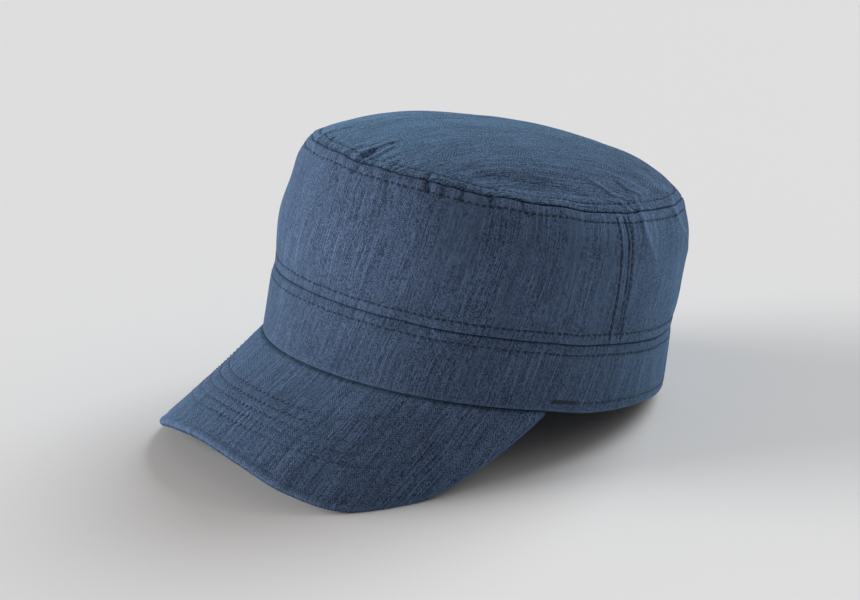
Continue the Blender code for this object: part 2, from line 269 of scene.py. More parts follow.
# Creases that show near the top seam: from an angle and a distance in mm above (below, if less
# than 0) the seam to another, with the half width and the height in mm
CREASES = table(
    "angle away to_angle to_away width height",
    (10.8, 0.5, 8.0, -5.0, 1.0, -0.9),
    (6.8, 0.5, 5.0, 6.0, 1.1, 0.9),
    (5.0, 6.0, 9.5, 21.0, 1.4, 0.8),
    (8.6, 1.0, 7.6, 11.0, 1.1, -0.9),
    (10.2, -2.0, 9.6, 5.0, 1.0, 0.7),
    (9.6, 5.0, 12.0, 17.0, 1.3, 0.7),
    (14.0, 1.0, 17.5, 9.0, 2.4, -0.6),
    (-15.0, -4.0, -19.0, 7.0, 1.2, 1.1),
    (-19.0, 7.0, -18.0, 17.0, 1.4, 0.8),
    (-8.5, 0.0, -12.5, 7.0, 1.3, -0.7),
    (1.0, -6.0, 3.5, -12.0, 1.4, -0.6),
    (20.2, 7.0, 20.6, 0.0, 1.2, -0.6),
    (20.6, 0.0, 22.0, -16.0, 1.0, -0.6),
    (24.5, -3.0, 25.5, -12.0, 1.3, 0.4),
    (32.6, 3.0, 34.0, -4.5, 1.0, -1.0),
    (35.2, 2.0, 36.2, -4.5, 1.2, 0.5),
    (38.4, -1.5, 38.8, -4.5, 0.8, -0.5),
    (41.0, -1.0, 41.2, -4.5, 1.5, 0.5),
    (44.0, 0.6, 43.6, -4.8, 1.0, -0.8),
    (46.4, -1.0, 46.8, -4.5, 1.6, 0.4),
    (51.4, 0.0, 52.0, -5.0, 1.0, -0.8),
    (55.4, 0.0, 56.2, -5.0, 1.3, 0.35),
    (61.0, -1.0, 62.4, -6.0, 1.2, -0.7),
    (96.6, 6.0, 97.8, 0.6, 0.9, 0.8),
    (99.4, 5.0, 100.2, 0.6, 0.9, -0.5),
    (104.0, 7.0, 102.4, 0.0, 1.1, 0.9),
    (102.4, 0.0, 101.6, -8.0, 1.3, 1.0),
    (101.6, -8.0, 103.2, -14.0, 1.5, 0.8),
    (103.2, -14.0, 106.5, -21.0, 2.0, 0.45),
    (89.0, 19.0, 92.5, 15.0, 1.5, 0.7),
    (92.5, 15.0, 95.5, 10.0, 1.5, 0.7),
    (103.5, 18.0, 104.5, 12.5, 1.3, 1.2),
    (104.5, 12.5, 109.0, 9.0, 1.3, 1.3),
    (139.5, 22.0, 135.0, 12.0, 1.8, 0.5),
    (135.0, 12.0, 127.5, 7.0, 1.8, 0.7),
    (127.5, 7.0, 121.5, 0.0, 1.8, 0.8),
    (121.5, 0.0, 124.8, -7.0, 2.0, 0.9),
    (124.8, -7.0, 134.0, -15.0, 2.0, 0.6),
    (134.0, -15.0, 138.0, -24.0, 2.4, 0.4),
)
ARC_PER_DEGREE = 1.5 * MM   # along the top seam, on average


def crease_height(angle, away):
    """A bell curve of the distance to each line. The highest ridge and the deepest dent add up."""
    turn = np.degrees(round_angle(angle))
    ridges = stitch_shade_group = np.zeros(np.broadcast(angle, away).shape)
    for start, low, end, high, width, height in zip(*CREASES.values()):
        run = np.array([(end - start) * ARC_PER_DEGREE, (high - low) * MM])
        across, up = (turn - start) * ARC_PER_DEGREE, away - low * MM
        share = (across * run[0] + up * run[1]) / (run @ run)
        nearest = np.clip(share, 0, 1)
        gap = np.hypot(across - nearest * run[0], up - nearest * run[1])
        line = height * MM * bell(gap, width * MM)
        ridges, stitch_shade_group = np.maximum(ridges, line), np.minimum(stitch_shade_group, line)
    return ridges + stitch_shade_group


def shaded(crease):
    """The shadow that a dent gathers: none down to 0.2 mm and half a seam's at 0.9 mm."""
    return 0.5 * smooth(-crease, 0.2 * MM, 0.9 * MM)


def pale_ridge(crease):
    """How far a ridge is painted pale, as wear and as a highlight: not at all up to 0.25 mm and
    fully at 0.9 mm.
    """
    return smooth(crease, 0.25 * MM, 0.9 * MM)


def lifted_cloth(relief, from_seam):
    """How far a pucker near a seam is painted pale, as wear and as a highlight: a quarter where it
    is 0.75 mm high.
    """
    return 0.25 * smooth(relief, 0.15 * MM, 0.75 * MM) * (1 - smooth(from_seam, 5 * MM, 7 * MM))


def pucker_height(angle, away, seed, count):
    """Ridges and dents square to a seam: bell curves along it that fade at their own reach."""
    random = np.random.default_rng(seed)
    places = (np.arange(count) + random.uniform(0, 1, count)) * 2 * np.pi / count
    heights = random.uniform(-0.75, 0.50, count) * MM
    widths = random.uniform(0.6, 1.9, count) * MM / HALF_WIDTH
    slants = random.uniform(-0.6, 0.6, count)
    reaches = random.uniform(4.5, 13, count) * MM
    far = np.abs(away)
    total = np.zeros(np.broadcast(angle, away).shape)
    for place, height, width, slant, reach in zip(places, heights, widths, slants, reaches):
        turn = round_angle(angle - place - slant * away / HALF_WIDTH)
        fade = 1 - smooth(far, 0.35 * reach, reach)
        total += height * fade * bell(turn, width)
    return total * smooth(far, 0.1 * MM, 1.0 * MM)


print("Folds:", len(FOLDS["angle"]), "creases:", len(CREASES["angle"]))

# %% [markdown]
# ## What a seam looks like
# At each seam the two cloths roll down into a narrow groove. Their turned edges lie underneath
# and lift the cloth on both sides into a low pad, and a row of stitches about 4.7 mm away
# pulls it down again. One profile of the distance from the seam gives all three.

# %% The seam profile
STITCH_ROW = 4.7 * MM       # from the seam to the row of stitches beside it
ROLL_DEPTH = 0.65 * MM      # how deep the cloth rolls into a seam
ROLL_WIDTH = 0.36 * MM
PAD_HEIGHT = 0.24 * MM      # what the turned edge lifts
STITCH_PULL = 0.28 * MM     # how deep the thread pulls
STITCH_WIDTH = 0.60 * MM
PAINTED_SHADE_WIDTH = 0.34 * MM    # of the shadow that a seam gathers


def seam_profile(away, pad):
    """A roll that falls off from the seam, a pad up to the stitches and a dent along them."""
    far = np.abs(away)
    roll = -ROLL_DEPTH * np.exp(-((far / ROLL_WIDTH) ** 1.5))
    past_row = smooth(far, STITCH_ROW - 0.9 * MM, STITCH_ROW + 0.5 * MM)
    lift = pad * smooth(far, 0.2 * MM, 1.0 * MM) * (1 - past_row)
    pull = -STITCH_PULL * bell(far - STITCH_ROW, STITCH_WIDTH)
    return roll + lift + pull


def seam_rows(reach):
    """Distances of mesh rows from a seam: close together in the roll and at the stitches."""
    fine = np.array([0, 0.12, 0.26, 0.42, 0.62, 0.9, 1.3, 1.9, 2.6, 3.3, 3.8, 4.15, 4.45, 4.7])
    wide = np.array([4.95, 5.25, 5.7, 6.4, 7.3])
    rows = np.concatenate([fine, wide]) * MM
    return rows[rows < reach]


def between_seams(length, spacing, first=True):
    """Shares of a length, with fine rows at the seams, the first of which may be missing."""
    low = seam_rows(length / 2) if first else np.array([0.0])
    high = length - seam_rows(length / 2)[::-1]
    steps = int(round((high[0] - low[-1]) / spacing))
    return np.concatenate([low, np.linspace(low[-1], high[0], steps + 1)[1:-1], high]) / length


print("Rows beside a seam:", len(seam_rows(1.0)))

# %% [markdown]
# ## From a grid to a mesh
# A cloth piece is one closed skin: up its outside and down its inside. Where it goes all the way
# round, the last column is the first one again. The columns are kept apart in the UV map, so
# that the weave runs on without a jump, and joined in the mesh, so that it is closed. A piece
# gets two maps: `cloth` is the place on the flat cloth in metres, and `rows` tells how far along
# and how far from the nearest row of stitches a point is.


# %% Mesh helpers
def at_rest(points):
    """Turned about the cross axis by the lean, moved to place, and pressed flat at the floor."""
    c, s = np.cos(np.radians(LEAN)), np.sin(np.radians(LEAN))
    placed = points @ np.array([[1, 0, 0], [0, c, s], [0, -s, c]]).T + PLACE
    placed[..., 2] = np.maximum(placed[..., 2], 0)
    return placed


def grid_corners(rows, columns, closed_loop):
    """The four corners of every cell of a grid, as places in the grid counted row by row."""
    index = np.arange(rows * columns).reshape(rows, columns)
    if closed_loop:
        index = np.vstack([index, index[:1]])
    corners = [index[:-1, :-1], index[:-1, 1:], index[1:, 1:], index[1:, :-1]]
    return np.stack(corners, axis=-1).reshape(-1, 4)


def welded(points):
    """Numbers of the different points of a grid, and for each place in the grid its number."""
    key = np.round(points.reshape(-1, 3) / 1e-7).astype(np.int64)
    _, first, number = np.unique(key, axis=0, return_index=True, return_inverse=True)
    return first, number.reshape(-1)


def cloth_piece(name, loop, maps, values, caps=False):
    """A closed mesh from a loop of rows. Places that coincide are joined; ends may get caps."""
    rows, columns = loop.shape[:2]
    first, number = welded(loop)
    corners = grid_corners(rows, columns, closed_loop=True)
    faces = number[corners]
    full = (faces != np.roll(faces, 1, axis=1)).all(axis=1)
    quads, places = faces[full].tolist(), corners[full].reshape(-1)
    odd = [(f, c) for f, c in zip(faces[~full], corners[~full]) if len(set(f.tolist())) == 3]
    keep = [[i for i in range(4) if f[i] != f[i - 1]] for f, _ in odd]
    triangles = [f[k].tolist() for (f, _), k in zip(odd, keep)]
    places = np.concatenate([places, *[c[k] for (_, c), k in zip(odd, keep)]]).astype(int)
    ends = []
    if caps:
        grid = np.arange(rows * columns).reshape(rows, columns)
        for end in (grid[::-1, 0], grid[:, -1]):
            ends.append(number[end].tolist())
            places = np.concatenate([places, end])
    mesh = bpy.data.meshes.new(name)
    mesh.from_pydata(loop.reshape(-1, 3)[first].tolist(), [], quads + triangles + ends)
    for title, flat in maps.items():
        layer = mesh.uv_layers.new(name=title)
        layer.data.foreach_set("uv", flat.reshape(-1, 2)[places].astype(np.float32).ravel())
    for title, level in values.items():
        attribute = mesh.attributes.new(title, "FLOAT", "POINT")
        attribute.data.foreach_set("value", level.reshape(-1)[first].astype(np.float32))
    print(name, "faces:", len(mesh.polygons), "volume in cm3:", round(abs(volume(mesh)) * 1e6, 1))
    return outward_object(mesh)


def volume(mesh):
    """A sixth of the sum of the triple products of all triangles. Above 0, faces point outwards."""
    mesh.calc_loop_triangles()
    co = np.zeros(len(mesh.vertices) * 3, np.float32)
    mesh.vertices.foreach_get("co", co)
    tri = np.zeros(len(mesh.loop_triangles) * 3, np.int32)
    mesh.loop_triangles.foreach_get("vertices", tri)
    a, b, c = co.reshape(-1, 3)[tri.reshape(-1, 3)].transpose(1, 0, 2).astype(float)
    return (a * np.cross(b, c)).sum() / 6


def outward_object(mesh):
    """An object of the same name in the scene, with its faces turned outwards and smooth."""
    if volume(mesh) < 0:
        mesh.flip_normals()
    mesh.shade_smooth()
    piece = bpy.data.objects.new(mesh.name, mesh)
    bpy.context.scene.collection.objects.link(piece)
    return piece


def running_length(points, axis):
    """Way along a grid's rows or columns, added up from the first."""
    step = np.linalg.norm(np.diff(points, axis=axis), axis=-1)
    return np.concatenate([np.zeros_like(step.take([0], axis)), step.cumsum(axis)], axis)


# %% [markdown]
# ## The crown's cloth
# The same few lines serve the band, the side panels and the top. A grid of angles and stations
# gives the bare surface. Distances from the seams are measured along it, the relief moves every
# point along its normal, and a second, smoother skin inside gives the cloth its thickness.

# %% The crown's skins
NORMAL_STEP = 0.004         # of angle and station, to find a normal
BLEND_REACH = 3.0 * MM      # over which a cloth turns into the seam's direction
# For the band seam, 1, and the top seam, 2
SEAM_SEEDS = {1: 11, 2: 23}
SEAM_WANDER = {1: 0.40 * MM, 2: 0.75 * MM}      # how far it strays from its line
PUCKER_COUNT = {1: 60, 2: 88}
PUCKER_SHARE = {1: 0.6, 2: 1.0}
PULLED_ANGLE, PULLED_REACH = 38, 30             # where the thread pulls hardest, in degrees
ROW_WANDER = 0.2 * MM       # how far a row of stitches strays


def zone_normal(shape, angle, station, low, high):
    """The cross product of a small step round and a small step up, kept inside the zone."""
    station = np.minimum(station, 3 - 3 * NORMAL_STEP)
    around = shape(angle + NORMAL_STEP, station) - shape(angle - NORMAL_STEP, station)
    above = shape(angle, np.minimum(station + NORMAL_STEP, high))
    return unit(np.cross(around, above - shape(angle, np.maximum(station - NORMAL_STEP, low))))


def seam_normal(angle, seam):
    """The mean of the two cloths' directions at a seam, which both of them use there."""
    at = np.full(np.shape(angle), seam)
    upper = zone_normal(dome, angle, at, 2, 3) if seam == 2 else zone_normal(wall, angle, at, 1, 2)
    return unit(upper + zone_normal(wall, angle, at, seam - 1, seam))


def crown_skin(angle, station, low, high, shape):
    """Bare points, normals, and signed distances from the zone's lower and upper seam."""
    base = shape(angle, station)
    length = running_length(base, 0)
    from_low, from_high = length, length - length[-1:]
    normal = zone_normal(shape, angle, station, low, high)
    for seam, away in ((low, from_low), (high, from_high)):
        if seam in (1, 2):
            share = smooth(np.abs(away), 0, BLEND_REACH)[..., None]
            normal = unit(seam_normal(angle, seam) * (1 - share) + normal * share)
            line = round_noise(angle, np.zeros_like(angle), SEAM_SEEDS[seam] + 5, 44)
            fade = bell(away, 12 * MM)
            base = base + (SEAM_WANDER[seam] * line * fade)[..., None] * [0, 0, 1]
    return base, normal, from_low, from_high


def seam_relief(angle, away, seam):
    """The profile of a seam, uneven along its way, with its puckers."""
    seed = SEAM_SEEDS[seam]
    uneven = 1 + 0.45 * round_noise(angle, away / (9 * MM), seed, 60)
    pulled = 0.4 + 0.9 * bell(np.degrees(round_angle(angle)) - PULLED_ANGLE, PULLED_REACH)
    puckers = PUCKER_SHARE[seam] * pucker_height(angle, away, seed + 1, PUCKER_COUNT[seam])
    puckers = puckers * pulled
    return seam_profile(away, PAD_HEIGHT * uneven * (0.7 + 0.4 * pulled)) + puckers


def row_wobble(angle, seed):
    """How far a row of stitches strays from its line: noise with 2 to 3 cells a centimetre."""
    return ROW_WANDER * round_noise(angle, np.zeros_like(angle), seed, 130)


def wandering(angle, height, seed):
    """Faint flutes up the cloth and a slow wave, where the cloth hangs free between its seams."""
    flutes = 0.13 * round_noise(angle, height / (40 * MM), seed, 62)
    slow = 0.35 * round_noise(angle, height / (30 * MM), seed + 1, 14)
    return MM * (flutes + slow)


print("Seam normal at the front:", np.round(seam_normal(np.array([0.0]), 2.0), 2))

# %% [markdown]
# ## Rows of stitches
# A row of stitches follows a line of equal distance from its seam. That line is found in every
# column of the grid by linear steps between two mesh rows. The stitches are then spread evenly
# along it. The same line gives the cloth's `rows` map, from which the finish dents the cloth under
# each stitch in its bump and paints shade there.

# %% Lines and stitches on a skin
PITCH = 3.3 * MM            # from needle hole to needle hole
NO_ROW = 1.0                # the `rows` map where no stitches are near, in metres
stitch_runs = []            # one entry for each row: its piece, middles, ways, ups, half lengths


def line_at(value, points, at):
    """Where a value that rises from row to row passes `at`, in every column, by linear steps."""
    row = (value < at).sum(axis=0).clip(1, len(value) - 1)
    column = np.arange(value.shape[1])
    low, high = value[row - 1, column], value[row, column]
    share = ((at - low) / (high - low))[:, None]
    return points[row - 1, column] * (1 - share) + points[row, column] * share


def row_on(value, outer, normal, at=0):
    """A line of equal value on a skin, and the skin's normals along it."""
    return line_at(value, outer, at), line_at(value, normal, at)


def along_line(line, ways, values):
    """Values given at the points of a line, read at some ways along it."""
    length = running_length(line, 0)
    return np.stack([np.interp(ways, length, values[:, i]) for i in range(3)], axis=-1)


def sew(piece, line, normals, pitch=PITCH, start=0.0, end=None, share=0.56):
    """Spreads stitches evenly over a stretch of a line and returns the way for each hole number."""
    length = running_length(line, 0)
    end = length[-1] if end is None else end
    count = max(int(round((end - start) / pitch)), 1)
    real = (end - start) / count
    middles = start + (np.arange(count) + 0.5) * real
    half = 0.5 * share * real
    a, b = along_line(line, middles - half, line), along_line(line, middles + half, line)
    ups = unit(along_line(line, middles, normals))
    stitch_runs.append((piece, (a + b) / 2, unit(b - a), ups, half))
    return (length - start) / real


def nearest_row(choices):
    """Of several (ways along, distances off) pairs of arrays, the values of the nearest row."""
    ways = np.stack([np.broadcast_to(w, d.shape) for w, d in choices])
    offs = np.stack([d for _, d in choices])
    best = offs.argmin(axis=0)[None]
    return np.stack([np.take_along_axis(values, best, 0)[0] for values in (ways, offs)], -1)


def with_inside(outer, inner, flat, rows, values, keep_every):
    """Joins an outer and an inner skin into one loop, the inner one with fewer rows."""
    count = len(outer)
    kept = np.unique(np.concatenate([np.arange(0, count, keep_every), [count - 1]]))[::-1]
    loop = np.concatenate([outer, inner[kept]])
    far = np.zeros_like(rows[kept])
    far[..., 1] = NO_ROW
    maps = {"cloth": np.concatenate([flat, flat[kept]]), "rows": np.concatenate([rows, far])}
    levels = {k: np.concatenate([v, np.zeros_like(v[kept])]) for k, v in values.items()}
    return loop, maps, levels


print("Stitches to the centimetre:", round(10 / (PITCH / MM), 1))

# %% [markdown]
# ## The band
# The band is a doubled strip whose lower edge is turned, so it is rounded there. Its upper edge
# rolls into the band seam, with stitches below. A second row runs just over the rim, from a
# bartack beside the peak round the back, where it holds what is turned in.

# %% Make the band
COLUMNS = 640
RIM_ROW = 4.6 * MM          # from the rim up to its row of stitches
RIM_ROW_START = 84.0        # angle at which that row begins, beside the peak
RIM_PITCH = 3.9 * MM
turn = np.linspace(-np.pi, np.pi, COLUMNS + 1)

rim_curve = BAND_CLOTH / 2 * (1 - np.cos(np.linspace(0, np.pi / 2, 7)))
low_rows = np.concatenate([rim_curve, np.arange(1.7, 10, 0.55) * MM])
share_up = between_seams(BAND_HEIGHT, 1.1 * MM, first=False)
share_up = np.concatenate([low_rows / BAND_HEIGHT, share_up[share_up > 10.3 * MM / BAND_HEIGHT]])
angle, station = np.meshgrid(turn, share_up)
base, normal, over_rim, to_seam = crown_skin(angle, station, 0, 1, wall)
sag = RIM_SAG * bell(np.degrees(angle) - SAG_ANGLE, SAG_REACH) * (1 - station) ** 2
base = base - sag[..., None] * [0, 0, 1]


def rounded_edge(over, radius):
    """How far a skin stands back near an edge that is a half circle: radius less its chord."""
    inside = np.clip(radius - over, 0, radius)
    return radius - np.sqrt(radius**2 - inside**2)


back_half = smooth(np.abs(np.degrees(angle)), RIM_ROW_START - 8, RIM_ROW_START)
rim_pull = bell(over_rim - RIM_ROW, STITCH_WIDTH) * back_half
rim_waves = 0.25 * MM * round_noise(angle, over_rim / (9 * MM), 71, 60) * back_half
folds = fold_height(angle, station)
relief = folds + seam_relief(angle, to_seam, 1)
relief = relief + wandering(angle, over_rim, 31) * smooth(over_rim, 0, 9 * MM)
relief = relief - 0.8 * STITCH_PULL * rim_pull + rim_waves * bell(over_rim, 6 * MM)
curl = rounded_edge(over_rim, BAND_CLOTH / 2)
outer = base + (relief - curl)[..., None] * normal
inner = base + (folds - BAND_CLOTH + curl)[..., None] * normal

row_off = to_seam + STITCH_ROW + row_wobble(angle, 91)
row_line, row_ups = row_on(row_off, outer, normal)
seam_ways = sew("band_stitches", row_line, row_ups)
rim_line, rim_ups = row_on(over_rim, outer, normal, RIM_ROW)
rim_line = np.roll(rim_line[:-1], COLUMNS // 2, axis=0)     # from the front, round the back
rim_ups = np.roll(rim_ups[:-1], COLUMNS // 2, axis=0)
from_front = np.degrees(np.linspace(0, 2 * np.pi, COLUMNS + 1))[:-1]
row_ends = [RIM_ROW_START, 360 - RIM_ROW_START]
row_start, row_end = np.interp(row_ends, from_front, running_length(rim_line, 0))
rim_ways = sew("band_stitches", rim_line, rim_ups, RIM_PITCH, row_start, row_end)
rim_ways = np.roll(rim_ways, -COLUMNS // 2)
rim_ways = np.append(rim_ways, rim_ways[0])
rim_off = np.where(back_half > 0.5, np.abs(over_rim - RIM_ROW), NO_ROW)

flat = np.stack([angle * HALF_WIDTH, over_rim], axis=-1)
rows = nearest_row([(seam_ways, np.abs(row_off)), (rim_ways, rim_off)])
# Painted shade along the band seam.
painted_shade = bell(to_seam, PAINTED_SHADE_WIDTH)
# Puckers beside the seam and the rounded rim edge painted pale, as wear and as painted highlights.
lifted = lifted_cloth(relief, -to_seam)
edge = 1 - smooth(over_rim, 0.4 * MM, 2.2 * MM)
values = {"painted_shade": painted_shade, "wear_and_highlight": np.maximum(lifted, 0.3 * edge)}
loop, maps, values = with_inside(outer, inner, flat, rows, values, keep_every=6)
band_cloth = cloth_piece("band_cloth", at_rest(loop), maps, values)

# %% [markdown]
# ## The side panels
# Two panels meet at a side seam over each ear. That seam is sewn flat: its turned edges lie to
# the front, under a pad that two rows of stitches hold down, and a third row holds the back. Its
# profile is a function of the distance to the front or the back of the seam.

# %% Make the side panels
SEAM_ANGLE = np.radians(SIDE_SEAM)
FRONT_ROW = -4.7 * MM       # rows of stitches beside the side seam: in front of it
BACK_ROW = 2.6 * MM         # and behind it
SIDE_PITCH = 3.0 * MM


def side_seam(behind, height):
    """A roll at the seam, pads on both sides, and dents along the rows, all a little uneven."""
    uneven = soft_noise(height / (4 * MM), behind / (3 * MM) + 20, 41)
    roll = -0.7 * MM * np.exp(-((np.abs(behind) / (0.6 * MM)) ** 1.5))
    pad = 0.5 * smooth(behind, -5.2 * MM, -3.6 * MM) * (1 - smooth(behind, -1.2 * MM, -0.2 * MM))
    low_line = -0.28 * bell(behind + 2.7 * MM + 0.3 * MM * uneven, 0.5 * MM)
    ridge = 0.4 * bell(behind - 1.1 * MM, 0.75 * MM)
    welt = (0.22 + 0.14 * uneven) * bell(behind - FRONT_ROW + 1.0 * MM, 0.55 * MM)
    front = -0.4 * bell(behind - FRONT_ROW, 0.5 * MM)
    back = -0.42 * bell(behind - BACK_ROW, 0.6 * MM)
    swell = 0.16 * bell(behind - 4.2 * MM, 1.2 * MM)
    return roll + MM * (pad + low_line + ridge + welt + front + back + swell)


def panel_turns(start, end, spacing):
    """Angles over a panel, close together where it meets its seams."""
    fine = np.concatenate([np.arange(0, 6.6, 0.42), np.arange(6.8, 9.5, 0.8)]) * MM / HALF_WIDTH
    steps = int((end - start - 2 * fine[-1]) * HALF_WIDTH / spacing)
    middle = np.linspace(start + fine[-1], end - fine[-1], steps + 1)[1:-1]
    return np.concatenate([start + fine, middle, end - fine[::-1]])


def side_panel(name, start, end):
    """One panel from seam to seam, with every relief in it, as a closed piece."""
    turns = panel_turns(start, end, 0.95 * MM)
    angle, station = np.meshgrid(turns, 1 + between_seams(SIDE_HEIGHT, 1.25 * MM))
    base, normal, above, below = crown_skin(angle, station, 1, 2, wall)
    round_way = running_length(base, 1)
    to_front, to_back = round_way, round_way - round_way[:, -1:]
    in_front = start < 0
    first = -to_front if in_front else to_front
    last = to_back if in_front else -to_back
    inner_part = smooth(above, 0.5 * MM, 5 * MM) * smooth(-below, 0.5 * MM, 5 * MM)
    sides = (side_seam(first, above) + side_seam(last, above)) * (0.3 + 0.7 * inner_part)
    crease = crease_height(angle, below)
    folds = fold_height(angle, station)
    relief = folds + crease
    relief = relief + seam_relief(angle, above, 1) + seam_relief(angle, below, 2)
    relief = relief + sides + wandering(angle, above, 51) * inner_part
    outer = base + relief[..., None] * normal
    inner = base + (folds - SIDE_CLOTH)[..., None] * normal

    choices = []
    for value, at, seed in ((above, STITCH_ROW, 92), (below, -STITCH_ROW, 93)):
        off = value - at + row_wobble(angle, seed)
        line, ups = row_on(off, outer, normal)
        choices.append((sew("crown_stitches", line, ups), np.abs(off)))
    row = -FRONT_ROW if in_front else BACK_ROW
    for value, at in ((to_front, row), (to_back, -row)):
        line, ups = row_on(value.T, outer.transpose(1, 0, 2), normal.transpose(1, 0, 2), at)
        end = running_length(line, 0)[-1] - STITCH_ROW
        ways = sew("crown_stitches", line, ups, SIDE_PITCH, STITCH_ROW, end, share=0.85)
        choices.append((ways[:, None], np.abs(value - at)))
    flat = np.stack([angle * HALF_WIDTH, above + BAND_HEIGHT], axis=-1)
    # Painted shade along the band and top seams, beside the side seams and in the creases' dents.
    dark = [bell(away, PAINTED_SHADE_WIDTH) for away in (above, below)]
    dark += [0.55 * bell(away, 0.4 * MM) * inner_part for away in (first, last)]
    dark.append(shaded(crease))
    from_seam = np.minimum.reduce([above, -below, to_front, -to_back])
    lifted = lifted_cloth(relief - folds, from_seam)
    # Puckers and crease ridges painted pale, as wear and as painted highlights.
    values = {"painted_shade": np.maximum.reduce(dark), "wear_and_highlight": np.maximum(lifted, pale_ridge(crease))}
    loop, maps, values = with_inside(outer, inner, flat, nearest_row(choices), values, 7)
    print(name, "height in mm:", round(float(above[-1].mean() / MM), 1),
          "length in mm:", round(float(round_way[0, -1] / MM), 1))
    return cloth_piece(name, at_rest(loop), maps, values, caps=True)


front_panel = side_panel("front_panel", -SEAM_ANGLE, SEAM_ANGLE)
back_panel = side_panel("back_panel", SEAM_ANGLE, 2 * np.pi - SEAM_ANGLE)

# %% [markdown]
# ## The top panel
# The top is one oval cloth. Rings from the seam to the middle make the grid, and the last ring
# is a single point. The middle is far from every seam, so rings may lie further apart there.

# %% Make the top panel
seam_part = seam_rows(1.0)
ring_spread = seam_part / (88 * MM)
rest = ring_spread[-1] + (1 - ring_spread[-1]) * np.linspace(0, 1, 76)[1:] ** 1.4
angle, station = np.meshgrid(turn, 2 + np.concatenate([ring_spread * 0.97, rest]))
base, normal, inward, _ = crown_skin(angle, station, 2, 3, dome)
normal[-1] = normal[-2].mean(axis=0) / np.linalg.norm(normal[-2].mean(axis=0))
quiet = smooth(3 - station, 0.02, 0.3)
plan = base[..., :2]
slow = 0.55 * soft_noise(plan[..., 0] / (24 * MM) + 9, plan[..., 1] / (34 * MM) + 9, 61)
fine = 0.2 * soft_noise(plan[..., 0] / (7 * MM) + 20, plan[..., 1] / (16 * MM) + 20, 62)
crease = crease_height(angle, inward)
folds = fold_height(angle, station)
relief = (folds + crease) * quiet + seam_relief(angle, inward, 2)
relief = relief + MM * (slow + fine) * smooth(inward, 1 * MM, 10 * MM)
outer = base + relief[..., None] * normal
inner = base + (folds * quiet - TOP_CLOTH)[..., None] * normal
outer[-1], inner[-1] = outer[-1].mean(axis=0), inner[-1].mean(axis=0)

row_off = inward - STITCH_ROW + row_wobble(angle, 94)
row_line, row_ups = row_on(row_off, outer, normal)
top_ways = sew("crown_stitches", row_line, row_ups)
rows = nearest_row([(top_ways, np.abs(row_off))])
# Painted shade along the top seam and in the creases' dents.
values = {
    "painted_shade": np.maximum(bell(inward, PAINTED_SHADE_WIDTH), shaded(crease)),
    # Crease ridges painted pale, as wear and as painted highlights.
    "wear_and_highlight": pale_ridge(crease),
}
loop, maps, values = with_inside(outer, inner, plan, rows, values, keep_every=6)
top_panel = cloth_piece("top_panel", at_rest(loop), maps, values)

# %% [markdown]
# ## The peak
# The peak is a stiff board with cloth on both sides, sewn under the band. Straight lines run
# out from the rim, each with its own slope and length, so the board bends one way only, as a
# real one does. Five nested rows of stitches, like a U, hold the cloths to the board.

# %% Make the peak
PEAK_COLUMNS, PEAK_ROWS = 300, 84
EDGE_TURNS = 10             # mesh rows round the edge
EDGE_WEAR_AND_HIGHLIGHT = 0.35            # how pale the edge is painted, as wear and as a painted highlight
U_ROWS = 5                  # nested rows of stitches
U_POWER = 3.4               # a high power gives the U straight sides and round corners
U_PITCH = 3.0 * MM
U_SINK = 0.22 * MM          # how far its stitches lie in the cloth
PEAK_GAP = 0.3 * MM         # how far the peak begins below the rim
PEAK_TUCK = 0.9             # share of the band's thickness that the peak reaches under
TUCK_RISE = 1 * MM          # how far its hidden edge rises into the band
UNDER_ROWS = 15             # mesh rows of the underside
# What the worn peak has gained, or lost where negative, in length and in bend down at its
# edge, in mm, from side to side
PEAK_WEAR = table(
    "side length bend",
    (-1.0, 0.0, 0.0),
    (-0.7, 0.0, 1.4),
    (-0.4, -0.4, 0.6),
    (0.0, -1.2, 0.0),
    (0.2, -0.7, 0.0),
    (0.4, 0.3, 0.0),
    (0.6, 1.2, 0.0),
    (0.8, 1.8, 0.0),
    (0.9, 1.3, 0.0),
    (1.0, 0.0, 0.0),
)


def peak_column(name, side):
    """A column of the peak's table, read on both sides alike."""
    return through(PEAK_SHAPE["side"], PEAK_SHAPE[name], np.abs(side), flat_start=name != "splay")


def peak_top(side, along):
    """A point of the rim plus a way along the straight line that leaves it there."""
    angle = side * np.radians(PEAK_SWEEP)
    x, y = oval(angle)
    root = np.stack([x, y, rim_height(angle) - PEAK_GAP], axis=-1)
    droop = np.radians(peak_column("droop", side))
    splay = np.radians(peak_column("splay", side)) * np.sign(side)
    level = np.cos(droop)
    heading = np.stack([level * np.sin(splay), -level * np.cos(splay), -np.sin(droop)], axis=-1)
    bend = through(PEAK_WEAR["side"], PEAK_WEAR["bend"], side) * MM * along / PEAK_LENGTH
    return root + along[..., None] * heading - bend[..., None] * [0, 0, 1]


def peak_normal(side, along):
    """The cross product of a small step down the peak and a small step across."""
    across = peak_top(side + NORMAL_STEP, along) - peak_top(side - NORMAL_STEP, along)
    return unit(np.cross(peak_top(side, along + NORMAL_STEP) - peak_top(side, along), across))


def u_depth(row, side):
    """How far down the peak a row lies in its middle, as a share, a little further to the sides."""
    return (0.38 + 0.085 * row) * (1 + 0.4 * np.minimum(side**2, 0.3))


def u_width(row):
    """How far to the side a row lies at the rim, as a share."""
    return 0.50 + 0.055 * row


side = np.linspace(-1, 1, PEAK_COLUMNS + 1)
radius = PEAK_THICKNESS / 2
flat_length = PEAK_LENGTH * peak_column("length", side) - radius
flat_length = flat_length + MM * through(PEAK_WEAR["side"], PEAK_WEAR["length"], side)
share = np.concatenate([[0, 0.012, 0.028], np.linspace(0.045, 1, PEAK_ROWS)])
around = np.linspace(0, np.pi, EDGE_TURNS + 1)[1:]
top_along = share[:, None] * flat_length
edge_along = flat_length + radius * np.sin(around)[:, None]
sides = np.broadcast_to(side, top_along.shape)
top = peak_top(sides, top_along)
top_normal = peak_normal(sides, top_along)

